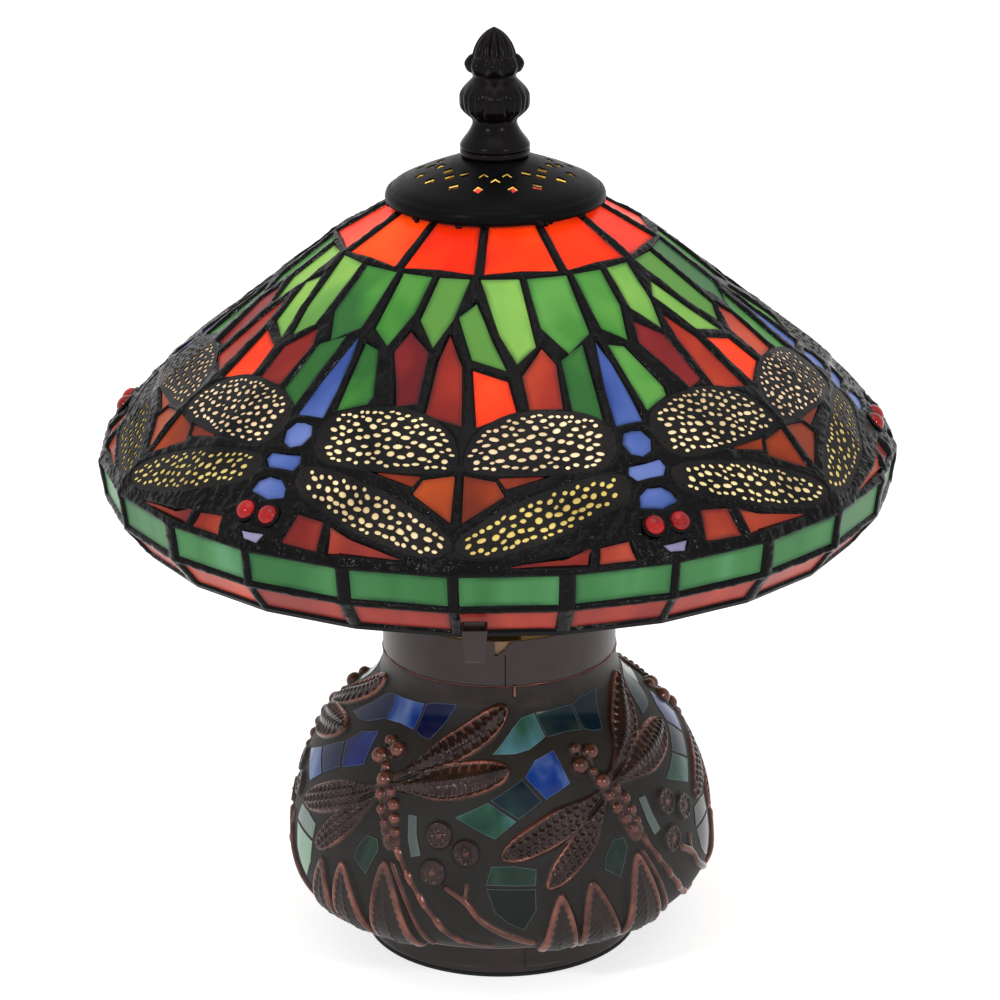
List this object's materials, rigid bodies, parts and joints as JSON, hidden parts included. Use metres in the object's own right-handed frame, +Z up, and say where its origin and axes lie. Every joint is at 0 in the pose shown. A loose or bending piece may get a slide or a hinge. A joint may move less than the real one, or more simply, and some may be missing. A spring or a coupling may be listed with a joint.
{
  "type": "stained glass table lamp",
  "caption": "Table lamp with a leaded glass dragonfly shade on a harp, a vented cap with a finial, and a cast mosaic base.",
  "frame": {"origin": "on the table, under the middle of the foot", "axes": "+Z up along the lamp's axis, -Y to the front, +Y to the back where the cord comes in, +X to the right seen from the front"},
  "size_m": [0.2526, 0.2526, 0.3022],
  "materials": {
    "felt": "matte",
    "foot_metal": "satin",
    "casting": "patinated bronze finish",
    "plated_steel": "satin",
    "rubber": "matte",
    "collar": "satin",
    "brass": "satin",
    "black_plastic": "matte",
    "lead": "dark patina",
    "cap_bronze": "satin",
    "filigree_metal": "dark patina",
    "bulb_white": "frosted",
    "wing_cream": "mottled",
    "ruby": "polished",
    "glass_crown_orange": "streaky",
    "glass_leaf_green": "streaky",
    "glass_spring_green": "streaky",
    "glass_dark_red": "streaky",
    "glass_scarlet": "streaky",
    "glass_orange": "streaky",
    "glass_dragonfly_blue": "streaky",
    "glass_lavender": "streaky",
    "glass_amber": "streaky",
    "glass_rose": "streaky",
    "glass_border_green": "streaky",
    "glass_border_red": "streaky",
    "tiles_cobalt": "streaky",
    "tiles_teal": "streaky",
    "tiles_pale_green": "streaky",
    "tiles_dark_green": "streaky"
  },
  "bodies": {
    "base": {"felt_pad": "felt", "foot_ring": "foot_metal", "base_plate": "plated_steel", "base_casting": "casting", "cord_bushing": "rubber", "neck_collar": "collar", "neck_plate": "plated_steel", "lamp_pipe": "plated_steel", "pipe_nuts": "plated_steel", "harp_saddle": "brass", "socket_cap": "brass", "socket_shell": "brass", "socket_body": "black_plastic", "screw_shell": "brass", "tiles_cobalt": "tiles_cobalt", "tiles_teal": "tiles_teal", "tiles_pale_green": "tiles_pale_green", "tiles_dark_green": "tiles_dark_green"},
    "harp": {"harp": "brass"},
    "ferrule_left": {"harp_ferrule_left": "brass"},
    "ferrule_right": {"harp_ferrule_right": "brass"},
    "shade": {"shade_lead": "lead", "wing_glass": "wing_cream", "wing_filigree": "filigree_metal", "eye_jewels": "ruby", "rim_strip": "lead", "rim_clip": "collar", "vent_cap": "cap_bronze", "glass_crown_orange": "glass_crown_orange", "glass_leaf_green": "glass_leaf_green", "glass_spring_green": "glass_spring_green", "glass_dark_red": "glass_dark_red", "glass_scarlet": "glass_scarlet", "glass_orange": "glass_orange", "glass_dragonfly_blue": "glass_dragonfly_blue", "glass_lavender": "glass_lavender", "glass_amber": "glass_amber", "glass_rose": "glass_rose", "glass_border_green": "glass_border_green", "glass_border_red": "glass_border_red"},
    "finial": {"finial": "cap_bronze"},
    "bulb": {"bulb_cap": "plated_steel", "bulb_glass": "bulb_white"},
    "switch_key": {"switch_key": "black_plastic"}
  },
  "joints": [
    {"name": "harp_lift", "type": "slide", "parent": "base", "child": "harp", "axis": [0, 0, 1], "range_m": [0, 0.03]},
    {"name": "ferrule_left_lift", "type": "slide", "parent": "harp", "child": "ferrule_left", "axis": [0, 0, 1], "range_m": [0, 0.012]},
    {"name": "ferrule_right_lift", "type": "slide", "parent": "harp", "child": "ferrule_right", "axis": [0, 0, 1], "range_m": [0, 0.012]},
    {"name": "shade_lift", "type": "slide", "parent": "harp", "child": "shade", "axis": [0, 0, 1], "range_m": [0, 0.17]},
    {"name": "finial_turn", "type": "hinge", "parent": "shade", "child": "finial", "pos_m": [0, 0, 0.262], "axis": [0, 0, 1], "continuous": true},
    {"name": "bulb_turn", "type": "hinge", "parent": "base", "child": "bulb", "pos_m": [0, 0, 0.1266], "axis": [0, 0, 1], "continuous": true},
    {"name": "key_turn", "type": "hinge", "parent": "base", "child": "switch_key", "pos_m": [0, 0, 0.1239], "axis": [0, 1, 0], "continuous": true}
  ]
}
